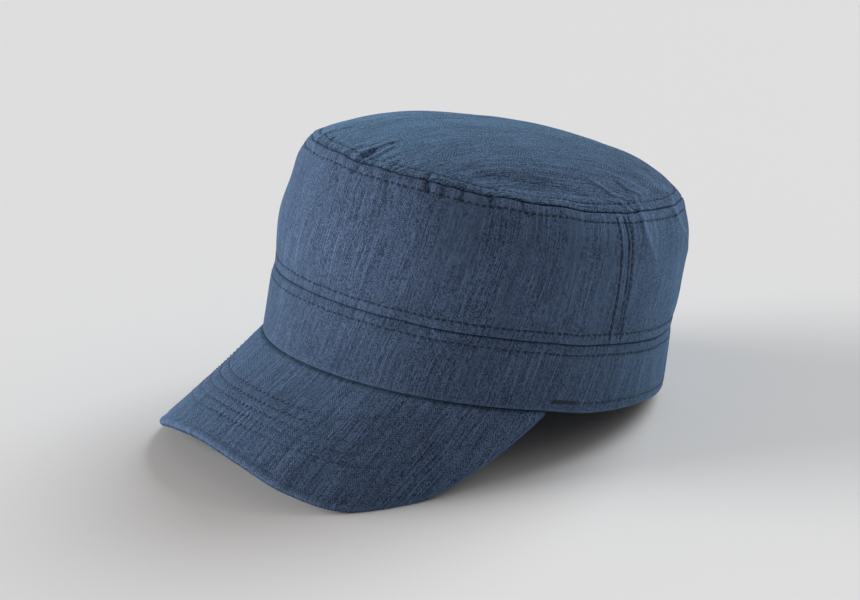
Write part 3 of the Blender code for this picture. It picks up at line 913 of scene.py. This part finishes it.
reach = top_along / PEAK_LENGTH
wide, offs, ways = np.abs(sides), [], []
u_angles = np.linspace(0.02, np.pi - 0.02, 160)
for row in range(U_ROWS):
    u_side = np.sign(np.cos(u_angles)) * np.abs(np.cos(u_angles)) ** (2 / U_POWER) * u_width(row)
    u_along = np.sin(u_angles) ** (2 / U_POWER) * u_depth(row, u_side) * PEAK_LENGTH
    line, ups = peak_top(u_side, u_along), peak_normal(u_side, u_along)
    end = running_length(line, 0)[-1] - U_PITCH
    number = sew("peak_stitches", line - U_SINK * ups, ups, U_PITCH, U_PITCH, end)
    level = (wide / u_width(row)) ** U_POWER + (reach / u_depth(row, sides)) ** U_POWER
    level = np.maximum(level, 1e-9) ** (1 / U_POWER)
    slope_up, slope_across = np.gradient(level)
    cell_up = np.linalg.norm(np.gradient(top, axis=0), axis=-1)
    cell_across = np.linalg.norm(np.gradient(top, axis=1), axis=-1)
    steep = np.hypot(slope_up / np.maximum(cell_up, 1e-9), slope_across / cell_across)
    offs.append(np.abs(level - 1) / np.maximum(steep, 1.0))
    at = np.arctan2(
        (reach / u_depth(row, sides)) ** (U_POWER / 2),
        np.sign(sides) * (wide / u_width(row)) ** (U_POWER / 2),
    )
    ways.append(np.interp(at, u_angles, number))
rows = nearest_row(list(zip(ways, offs)))

u_gap = rows[..., 1]
quilt = -0.28 * bell(u_gap, 0.75 * MM) * smooth(top_along, 1 * MM, 4 * MM)
slow = 0.5 * soft_noise(sides * 5 + 7, top_along / (22 * MM) + 7, 81)
fine = 0.12 * soft_noise(sides * 22 + 30, top_along / (9 * MM) + 7, 82)
to_edge = flat_length - top_along
bead = 0.15 * bell(to_edge, 1.4 * MM) - 0.2 * bell(to_edge - 3.2 * MM, 1 * MM)
relief = MM * (quilt + (slow + fine) * smooth(top_along, 0, 8 * MM) + bead)
top = top + relief[..., None] * top_normal
edge_side = np.broadcast_to(side, edge_along.shape)
round_off = np.cos(around)[:, None]
depth = radius * (1 - round_off) - relief[-1:] * (1 + round_off) / 2
edge = peak_top(edge_side, edge_along) - depth[..., None] * peak_normal(edge_side, edge_along)
under_along = np.linspace(1, 0, UNDER_ROWS + 1)[1:, None] * flat_length
under_side = np.broadcast_to(side, under_along.shape)
under = peak_top(under_side, under_along) - PEAK_THICKNESS * peak_normal(under_side, under_along)
tuck = top[:1] + PEAK_TUCK * BAND_CLOTH * unit(top[:1] * [-1, -1, 0]) + [0, 0, TUCK_RISE]

middle_droop = np.radians(PEAK_SHAPE["droop"][0])
ruling = np.array([0, -np.cos(middle_droop), -np.sin(middle_droop)])
whole = np.concatenate([top, edge, under, tuck])
down = whole @ ruling
square = whole - down[..., None] * ruling
middle = PEAK_COLUMNS // 2
cross_way = running_length(square, 1)
flat = np.stack([cross_way - cross_way[:, middle:middle + 1], down], axis=-1)
far = np.zeros((len(whole) - len(top), PEAK_COLUMNS + 1, 2)) + [0, NO_ROW]
edge_start = len(top)
edge_middle, edge_end = edge_start + EDGE_TURNS // 3, edge_start + EDGE_TURNS
painted_shade, wear_and_highlight = np.zeros(whole.shape[:2]), np.zeros(whole.shape[:2])
# Painted shade: on the peak's root under the band, on the lower part of its rounded edge and on its
# hidden edge tucked into the band.
painted_shade[:edge_start] = 0.9 * bell(top_along, 1.3 * MM)
painted_shade[edge_middle:edge_end] = 0.5
painted_shade[-1] = 1
# The peak's rim edge painted pale, as wear and as a painted highlight.
wear_and_highlight[:edge_start] = EDGE_WEAR_AND_HIGHLIGHT * bell(to_edge, 0.8 * MM)
wear_and_highlight[edge_start:edge_middle] = EDGE_WEAR_AND_HIGHLIGHT
maps = {"cloth": flat, "rows": np.concatenate([rows, far])}
values = {"painted_shade": painted_shade, "wear_and_highlight": wear_and_highlight}
peak_cloth = cloth_piece("peak_cloth", at_rest(whole), maps, values, caps=True)
print("Peak across the cloth in mm:", round(float(np.ptp(flat[40, :, 0]) / MM), 1))

# %% [markdown]
# ## The thread
# Each stitch is a short capsule whose ends dive into the cloth. Hundreds are needed, so one
# small shape is worked out once and carried to every place by whole arrays. A bartack is a
# dense cluster of stitches that locks the end of the rim's row.

# %% Make the stitches
THREAD_RADIUS = 0.28 * MM
THREAD_LIFT = 0.16 * MM     # how high a stitch's middle lies
THREAD_DIVE = 0.42 * MM     # and how far its ends dive from there
TACK_LENGTH = 12 * MM
TACK_GAP = 0.5 * MM         # between a bartack and its row
TACK_REACH = 1.35 * MM      # half the length of its legs
ring_place = np.array([-1.0, -0.82, -0.4, 0.4, 0.82, 1.0])
ring_size = np.array([0.5, 0.9, 1.0, 1.0, 0.9, 0.5])
THREAD_SIDES = 6


def bartack(line, normals, start, end, legs=25):
    """Slanted legs from side to side along a stretch of a line, like a narrow zigzag."""
    ways = np.linspace(start, end, legs)
    middles, ups = along_line(line, ways, line), unit(along_line(line, ways, normals))
    run = unit(along_line(line, ways + 0.5 * MM, line) - middles)
    square = np.cross(ups, run)
    slant = np.where(np.arange(legs) % 2 == 0, 0.7, -0.7)[:, None]
    return middles, unit(square + slant * run), ups, TACK_REACH


for start in (row_start - TACK_GAP - TACK_LENGTH, row_end + TACK_GAP):
    tack = bartack(rim_line, rim_ups, start, start + TACK_LENGTH)
    stitch_runs.append(("band_stitches", *tack))


def thread_piece(name):
    """All stitches of a name: capsule places along, across and up, times each stitch's own axes."""
    runs = [run[1:] for run in stitch_runs if run[0] == name]
    middles = np.concatenate([run[0] for run in runs])
    ways, ups = (np.concatenate([run[i] for run in runs]) for i in (1, 2))
    halves = np.concatenate([np.full(len(run[0]), run[3]) for run in runs])
    across = unit(np.cross(ups, ways))
    ups = np.cross(ways, across)
    turn = np.linspace(0, 2 * np.pi, THREAD_SIDES, endpoint=False)
    along = np.repeat(ring_place, THREAD_SIDES)
    wide = np.outer(ring_size, np.cos(turn)).ravel() * THREAD_RADIUS
    high = np.outer(ring_size, np.sin(turn)).ravel() * THREAD_RADIUS
    high = high + THREAD_LIFT - THREAD_DIVE * along**4
    points = middles[:, None] + (halves[:, None] * along)[..., None] * ways[:, None]
    points = points + wide[None, :, None] * across[:, None] + high[None, :, None] * ups[:, None]
    count, size = len(middles), len(along)
    ring = np.arange(size).reshape(-1, THREAD_SIDES)
    ring = np.hstack([ring, ring[:, :1]])
    quads = np.stack([ring[:-1, :-1], ring[:-1, 1:], ring[1:, 1:], ring[1:, :-1]], -1)
    quads = quads.reshape(-1, 4)
    start = (np.arange(count) * size)[:, None, None]
    faces = (start + quads).reshape(-1, 4).tolist()
    caps = [ring[0, :-1][::-1], ring[-1, :-1]]
    faces += (start + np.stack(caps)).reshape(-1, THREAD_SIDES).tolist()
    mesh = bpy.data.meshes.new(name)
    mesh.from_pydata(at_rest(points).reshape(-1, 3).tolist(), [], faces)
    print(name, "stitches:", count, "faces:", len(mesh.polygons))
    return outward_object(mesh)


crown_stitches = thread_piece("crown_stitches")
band_stitches = thread_piece("band_stitches")
peak_stitches = thread_piece("peak_stitches")

# %% [markdown]
# ## Twill
# The cloth is a slubbed cotton twill. Its lengthwise yarns are uneven, thick and pale in places,
# which draws long streaks. The weave itself shows as fine slanting ribs, and single fibres give
# light flecks. Each of these effects is a node group, built once and used by every cloth.


# %% Helpers for nodes
def put(tree, kind, inputs=None, **settings):
    """Adds a node. An input is either a value or the socket that feeds it."""
    new = tree.nodes.new(kind)
    for name, value in settings.items():
        setattr(new, name, value)
    for name, value in (inputs or {}).items():
        if isinstance(value, bpy.types.NodeSocket):
            tree.links.new(value, new.inputs[name])
        else:
            new.inputs[name].default_value = value
    return new


def calc(tree, operation, *values, clamp=False):
    """One step of arithmetic as a Math node."""
    inputs = dict(enumerate(values))
    return put(tree, "ShaderNodeMath", inputs, operation=operation, use_clamp=clamp).outputs[0]


def group(name, inputs, outputs):
    """An empty node group with named sockets, and its input and output nodes."""
    tree = bpy.data.node_groups.new(name, "ShaderNodeTree")
    for title, kind, value in inputs:
        socket = tree.interface.new_socket(title, in_out="INPUT", socket_type=f"NodeSocket{kind}")
        socket.default_value = value
    for title, kind in outputs:
        tree.interface.new_socket(title, in_out="OUTPUT", socket_type=f"NodeSocket{kind}")
    return tree, tree.nodes.new("NodeGroupInput").outputs, tree.nodes.new("NodeGroupOutput")


def use(tree, made, **inputs):
    """Places a group in a material."""
    return put(tree, "ShaderNodeGroup", inputs, node_tree=made).outputs


def vectors(tree, operation, first, second):
    """One step of arithmetic with vectors."""
    inputs = {0: first, 1: second}
    return put(tree, "ShaderNodeVectorMath", inputs, operation=operation).outputs[0]


def stretched_noise(tree, cloth, per_metre, detail=1.0, shift=0.0):
    """Noise over the cloth with its own number of cells to the metre each way."""
    place = vectors(tree, "ADD", vectors(tree, "MULTIPLY", cloth, per_metre), (shift,) * 3)
    noise = {"Vector": place, "Scale": 1.0, "Detail": detail, "Roughness": 0.5}
    return put(tree, "ShaderNodeTexNoise", noise).outputs[0]


def spread(tree, value, low, high):
    """Draws the middle of a noise's range out to 0 and 1."""
    inputs = {"Value": value, "From Min": low, "From Max": high}
    return put(tree, "ShaderNodeMapRange", inputs, interpolation_type="SMOOTHSTEP").outputs[0]


# %% The slub group
SWAY = 16 * MM              # how far the yarns stray sideways
SKEW = -0.17                # and how far they lean, as a slope
slubs, given, result = group(
    "slubs",
    [("Cloth", "Vector", (0, 0, 0)), ("Lines", "Float", 0.0)],
    [("Streak", "Float"), ("Slub", "Float")],
)
sway = stretched_noise(slubs, given["Cloth"], (16.0, 11.0, 0.0), 1.0, 3.0)
sway = calc(slubs, "MULTIPLY", calc(slubs, "SUBTRACT", sway, 0.5), SWAY)
height = put(slubs, "ShaderNodeSeparateXYZ", {0: given["Cloth"]}).outputs["Y"]
sway = calc(slubs, "MULTIPLY_ADD", height, SKEW, sway)
sway = put(slubs, "ShaderNodeCombineXYZ", {"X": sway}).outputs[0]
swayed = vectors(slubs, "ADD", given["Cloth"], sway)


def thin_line(per_metre, shift):
    """Sparse lines along the yarn. More of them show where the group's Lines value is higher."""
    value = stretched_noise(slubs, swayed, (*per_metre, 0.0), 1.0, shift)
    value = calc(slubs, "MULTIPLY_ADD", given["Lines"], 0.09, value)
    return spread(slubs, value, 0.54, 0.74)


pale_line, dark_line = thin_line((3000.0, 28.0), 0.0), thin_line((2300.0, 46.0), 21.0)
yarn = stretched_noise(slubs, swayed, (330.0, 15.0, 0.0), 2.0, 7.0)
warp = spread(slubs, stretched_noise(slubs, swayed, (2800.0, 80.0, 0.0), 0.0, 31.0), 0.3, 0.7)
slub = spread(slubs, stretched_noise(slubs, swayed, (135.0, 8.0, 0.0), 1.5, 11.0), 0.46, 0.66)
streak = 0.23               # where none of them adds anything
weights = ((yarn, 0.10), (pale_line, 0.66), (dark_line, -0.36), (slub, 0.09), (warp, 0.24))
for mask, weight in weights:
    streak = calc(slubs, "MULTIPLY_ADD", mask, weight, streak)
slubs.links.new(streak, result.inputs["Streak"])
slubs.links.new(slub, result.inputs["Slub"])
print("Group made:", slubs.name)

# %% The twill group
RIB_WIDTH = 1.08 * MM
FIBRES = (4200.0, 2000.0, 0.0)      # flecks to the metre, across and along
RIB_TURN = 3.0 * MM         # ribs lean one way and then the other over this width
twill, given, result = group(
    "twill",
    [("Cloth", "Vector", (0, 0, 0)), ("Rib Width", "Float", RIB_WIDTH)],
    [("Rib", "Float"), ("Fleck", "Float")],
)
place = put(twill, "ShaderNodeSeparateXYZ", {0: given["Cloth"]}).outputs
loose = stretched_noise(twill, given["Cloth"], (240.0, 60.0, 0.0), 1.0, 5.0)
across = calc(twill, "MULTIPLY_ADD", loose, 3.0 * MM, place["X"])
slanting = calc(twill, "MULTIPLY_ADD", calc(twill, "PINGPONG", across, RIB_TURN), 0.9, place["Y"])
loose = stretched_noise(twill, given["Cloth"], (520.0, 380.0, 0.0), 1.0, 15.0)
phase = calc(twill, "DIVIDE", slanting, given["Rib Width"])
phase = calc(twill, "MULTIPLY_ADD", loose, 0.25, phase)
wave = calc(twill, "SINE", calc(twill, "MULTIPLY", phase, 2 * np.pi))
twill.links.new(calc(twill, "MULTIPLY_ADD", wave, 0.5, 0.5), result.inputs["Rib"])
cells = vectors(twill, "MULTIPLY", given["Cloth"], FIBRES)
cells = {"Vector": cells, "Scale": 1.0, "Randomness": 0.85}
cells = put(twill, "ShaderNodeTexVoronoi", cells, voronoi_dimensions="2D")
fleck = put(twill, "ShaderNodeSeparateColor", {0: cells.outputs["Color"]}).outputs[0]
twill.links.new(fleck, result.inputs["Fleck"])
print("Group made:", twill.name, "with ribs", round(RIB_WIDTH / MM, 2), "mm apart")

# %% The stitch dent and painted shade group
stitch_shade_group, given, result = group(
    "stitch_dent_shade",
    [("Rows", "Vector", (0, 0, 0)), ("Pitch", "Float", PITCH)],
    [("Dent Shade", "Float")],
)
place = put(stitch_shade_group, "ShaderNodeSeparateXYZ", {0: given["Rows"]}).outputs
beside = calc(stitch_shade_group, "SUBTRACT", calc(stitch_shade_group, "FRACT", place["X"]), 0.5)
beside = calc(stitch_shade_group, "MULTIPLY", calc(stitch_shade_group, "MULTIPLY", beside, given["Pitch"]), 0.5)
squares = [calc(stitch_shade_group, "POWER", calc(stitch_shade_group, "ABSOLUTE", beside), 2.0)]
squares.append(calc(stitch_shade_group, "POWER", place["Y"], 2.0))
gap = calc(stitch_shade_group, "SQRT", calc(stitch_shade_group, "ADD", *squares))
# Near each stitch's middle: a dent for the bump and painted shade for the colour.
near = {"Value": gap, "From Min": 0.15 * MM, "From Max": 0.70 * MM, "To Min": 1.0, "To Max": 0.0}
near = put(stitch_shade_group, "ShaderNodeMapRange", near, interpolation_type="SMOOTHSTEP").outputs[0]
stitch_shade_group.links.new(near, result.inputs["Dent Shade"])
print("Group made:", stitch_shade_group.name)

# %% [markdown]
# ## Finishes
# The pale and the dark yarn are mixed by the streaks, ribs and flecks. Shade is painted dark into
# the seams' grooves, the creases' dents, the peak's root and under the stitches, and puckers,
# ridges and edges are painted paler, as wear and as painted highlights. Cotton fuzz catches light
# at grazing angles, which is the shader's sheen.

# %% Make the finishes
PALE_YARN = (0.163, 0.234, 0.402)
DARK_YARN = (0.030, 0.044, 0.080)
# The colour towards which painted shade darkens the cloth.
SHADOW = (0.005, 0.008, 0.016, 1.0)
FLECK_SHARE = 1.25          # how strong the flecks are
PALE_SHARE = 0.42           # share of pale yarn where all effects are at their middle
WEAR_AND_HIGHLIGHT_SHARE = 0.6          # how pale worn places and painted highlights get
PAINTED_SHADE_SHARE = 0.85         # how dark the painted shade gets
BUMP_HEIGHT = 0.34 * MM     # of the weave


def scaled_colour(colour, by):
    """A darker or paler colour, opaque."""
    return (*(channel * by for channel in colour), 1.0)


def mixed_colour(tree, factor, first, second):
    """A colour between two, each of which is a value or the socket that feeds it."""
    inputs = {0: factor, 6: first, 7: second}
    return put(tree, "ShaderNodeMix", inputs, data_type="RGBA").outputs[2]


def new_finish(name):
    """A material, its node tree and its shader."""
    finish = bpy.data.materials.new(name)
    finish.use_nodes = True
    return finish, finish.node_tree, finish.node_tree.nodes["Principled BSDF"]


def centred(tree, value, share):
    """A mask that runs from minus to plus half of a share."""
    return calc(tree, "MULTIPLY", calc(tree, "SUBTRACT", value, 0.5), share)


def twill_finish(name, tone, lines=0.3, grain_share=1.0, grain_size=(1.0, 1.0),
                 pitch=PITCH, dent_shade_share=0.95):
    """Yarn colours mixed by the weave, with painted shade in grooves and dents, painted paler for
    wear and highlights.
    """
    finish, tree, shader = new_finish(name)
    cloth = put(tree, "ShaderNodeUVMap", uv_map="cloth").outputs[0]
    rows = put(tree, "ShaderNodeUVMap", uv_map="rows").outputs[0]
    thick = use(tree, slubs, Cloth=cloth, Lines=lines)
    finer = (1 / grain_size[0], 1 / grain_size[1], 0.0)
    weave = use(tree, twill, Cloth=vectors(tree, "MULTIPLY", cloth, finer))
    dent_and_shade = use(tree, stitch_shade_group, Rows=rows, Pitch=pitch)["Dent Shade"]
    painted_shade = put(tree, "ShaderNodeAttribute", attribute_name="painted_shade").outputs["Fac"]
    wear_and_highlight = put(tree, "ShaderNodeAttribute", attribute_name="wear_and_highlight").outputs["Fac"]
    rib_share = calc(tree, "MULTIPLY_ADD", thick["Slub"], 0.9, 0.16)
    rib = calc(tree, "MULTIPLY", centred(tree, weave["Rib"], 1.0), rib_share)
    fleck = centred(tree, weave["Fleck"], FLECK_SHARE * grain_share)
    fleck = calc(tree, "MULTIPLY", fleck, calc(tree, "MULTIPLY_ADD", thick["Slub"], 0.3, 0.85))
    grain = calc(tree, "MULTIPLY_ADD", rib, grain_share, fleck)
    streak = centred(tree, thick["Streak"], 1.0)
    share = calc(tree, "ADD", calc(tree, "ADD", grain, streak), PALE_SHARE, clamp=True)
    dark, pale = scaled_colour(DARK_YARN, tone), scaled_colour(PALE_YARN, tone)
    colour = mixed_colour(tree, share, dark, pale)
    # Worn places and painted highlights mixed towards a paler yarn.
    wear_and_highlight_mix = calc(tree, "MULTIPLY", wear_and_highlight, WEAR_AND_HIGHLIGHT_SHARE)
    colour = mixed_colour(tree, wear_and_highlight_mix, colour, scaled_colour(PALE_YARN, tone * 1.2))
    # Painted shade from seams, creases and edges, and under the stitches, mixed towards the shadow
    # colour.
    painted_shade = calc(tree, "MULTIPLY", painted_shade, PAINTED_SHADE_SHARE)
    shade = calc(tree, "MAXIMUM", painted_shade, calc(tree, "MULTIPLY", dent_and_shade, dent_shade_share))
    tree.links.new(mixed_colour(tree, shade, colour, SHADOW), shader.inputs["Base Color"])
    height = calc(tree, "MULTIPLY_ADD", grain, 0.9, calc(tree, "MULTIPLY", streak, 0.4))
    height = calc(tree, "MULTIPLY_ADD", dent_and_shade, -1.2, height)
    bump = put(tree, "ShaderNodeBump", {"Strength": 0.9, "Distance": BUMP_HEIGHT, "Height": height})
    tree.links.new(bump.outputs[0], shader.inputs["Normal"])
    rough = calc(tree, "MULTIPLY_ADD", share, -0.12, 0.94)
    tree.links.new(rough, shader.inputs["Roughness"])
    shader.inputs["Specular IOR Level"].default_value = 0.08
    shader.inputs["Sheen Weight"].default_value = 0.33
    shader.inputs["Sheen Roughness"].default_value = 0.45
    shader.inputs["Sheen Tint"].default_value = (0.30, 0.68, 1.0, 1.0)
    return finish


# The same twill on each piece, at tones that differ to paint part of the light and shade that falls
# on each: darker on the top and the band, a little paler on the peak.
crown_finish = twill_finish("crown_twill", 1.0)
band_finish = twill_finish("band_twill", 0.89)
top_finish = twill_finish("top_twill", 0.81, lines=1.0, grain_share=1.2,
                          grain_size=(1.15, 1.5), dent_shade_share=0.6)
peak_finish = twill_finish("peak_twill", 1.03, lines=0.9, grain_share=1.1,
                           pitch=U_PITCH, dent_shade_share=0.85)


def thread_finish(name, darkest, palest):
    """Two colours mixed by a fine noise, for the twist of the thread."""
    finish, tree, shader = new_finish(name)
    place = put(tree, "ShaderNodeTexCoord").outputs["Object"]
    twist = stretched_noise(tree, place, (900.0, 900.0, 900.0), 1.0)
    tree.links.new(mixed_colour(tree, twist, darkest, palest), shader.inputs["Base Color"])
    tree.links.new(calc(tree, "MULTIPLY_ADD", twist, 0.2, 0.6), shader.inputs["Roughness"])
    return finish


# The crown and band thread is darker than the cloth's dark yarn: its own colour together with
# painted shade where the stitches sink into the cloth.
shades = scaled_colour(DARK_YARN, 0.2), scaled_colour(DARK_YARN, 1.1)
dark_thread = thread_finish("dark_thread", *shades)
shades = scaled_colour(DARK_YARN, 0.8), scaled_colour(PALE_YARN, 0.75)
peak_thread = thread_finish("peak_thread", *shades)
print("Finishes:", sorted(made.name for made in bpy.data.materials))

# %% [markdown]
# ## Dressing the frame
# Each piece rides on the cap's one body and takes its finish. Each cloth piece stands for the
# plain solid that it covers, which is hidden.

# %% Join the pieces to the frame
dressed = [
    (top_panel, top_finish, "twill", "crown_top"),
    (front_panel, crown_finish, "twill", "side_front"),
    (back_panel, crown_finish, "twill", "side_back"),
    (band_cloth, band_finish, "band_twill", "band"),
    (peak_cloth, peak_finish, "peak_twill", "peak"),
    (crown_stitches, dark_thread, "twill", None),
    (band_stitches, dark_thread, "band_twill", None),
    (peak_stitches, peak_thread, "peak_twill", None),
]
for piece, finish, slot_name, node_name in dressed:
    piece.data.materials.append(finish)
    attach(piece, "root")
    if node_name:
        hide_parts(node_name)

# %% [markdown]
# ## Floor, light and camera
# A plain pale floor and large soft lights keep the attention on the cloth. One light stands low
# to the left and two higher behind to the right, so both edges of the cap are bright and its
# front is darker. Low light along the cloth also brings out its folds and seams.

# %% Make the floor and the lights
FLOOR_HALF = 6.0            # metres from its middle to its edges
floor_mesh = bpy.data.meshes.new("floor")
corners = [(FLOOR_HALF * x, FLOOR_HALF * y, 0) for x, y in ((-1, -1), (1, -1), (1, 1), (-1, 1))]
floor_mesh.from_pydata(corners, [], [(0, 1, 2, 3)])
floor = bpy.data.objects.new("floor", floor_mesh)
bpy.context.scene.collection.objects.link(floor)
floor_finish, _, shader = new_finish("pale_floor")
shader.inputs["Base Color"].default_value = (0.775, 0.745, 0.73, 1)
shader.inputs["Roughness"].default_value = 0.9
shader.inputs["Specular IOR Level"].default_value = 0.1
floor.data.materials.append(floor_finish)

world = bpy.data.worlds.new("studio")
world.use_nodes = True
world.node_tree.nodes["Background"].inputs["Color"].default_value = (1, 1, 1, 1)
world.node_tree.nodes["Background"].inputs["Strength"].default_value = 0.2
bpy.context.scene.world = world
bpy.context.scene.view_settings.view_transform = "Standard"

CAMERA_AZIMUTH, CAMERA_ELEVATION = 51.38, 20.62
CAMERA_DISTANCE = 1.1954
LENS, SENSOR_WIDTH = 107.9, 36.0    # in mm
LAMP_DISTANCE = 3.0
SOFTNESS = 38               # degrees that each soft light spans, seen from the cap
TARGET = np.array([-7.42, 2.65, 50.71]) * MM


def direction(azimuth, elevation):
    """From the cap towards an azimuth (0 in front, 90 on the wearer's left) and an elevation."""
    a, e = np.radians(azimuth), np.radians(elevation)
    return np.array([np.sin(a) * np.cos(e), -np.cos(a) * np.cos(e), np.sin(e)])


def aimed(thing, azimuth, elevation, distance):
    """Puts a lamp or a camera in that direction at that distance, looking at the target."""
    back = Vector(direction(azimuth, elevation))
    thing.location = Vector(TARGET) + back * distance
    thing.rotation_euler = (-back).to_track_quat("-Z", "Y").to_euler()
    bpy.context.scene.collection.objects.link(thing)
    return thing


def soft_light(name, azimuth, elevation, strength, colour=(1.0, 1.0, 1.0)):
    """A far lamp as wide as a large soft box: it lights cap and floor evenly, with soft shadows."""
    lamp = bpy.data.lights.new(name, "SUN")
    lamp.energy, lamp.angle, lamp.color = strength, np.radians(SOFTNESS), colour
    return aimed(bpy.data.objects.new(name, lamp), azimuth, elevation, LAMP_DISTANCE)


soft_light("left_light", CAMERA_AZIMUTH - 92, 13, 3.7)
soft_light("back_light", CAMERA_AZIMUTH + 140, 35, 2.5, (0.87, 0.95, 1.0))
soft_light("right_light", CAMERA_AZIMUTH + 105, 35, 0.4)

# %% Make the camera and finish
camera_data = bpy.data.cameras.new("camera")
camera_data.sensor_width, camera_data.lens = SENSOR_WIDTH, LENS
camera = bpy.data.objects.new("camera", camera_data)
aimed(camera, CAMERA_AZIMUTH, CAMERA_ELEVATION, CAMERA_DISTANCE)
bpy.context.scene.camera = camera

bpy.context.view_layer.update()
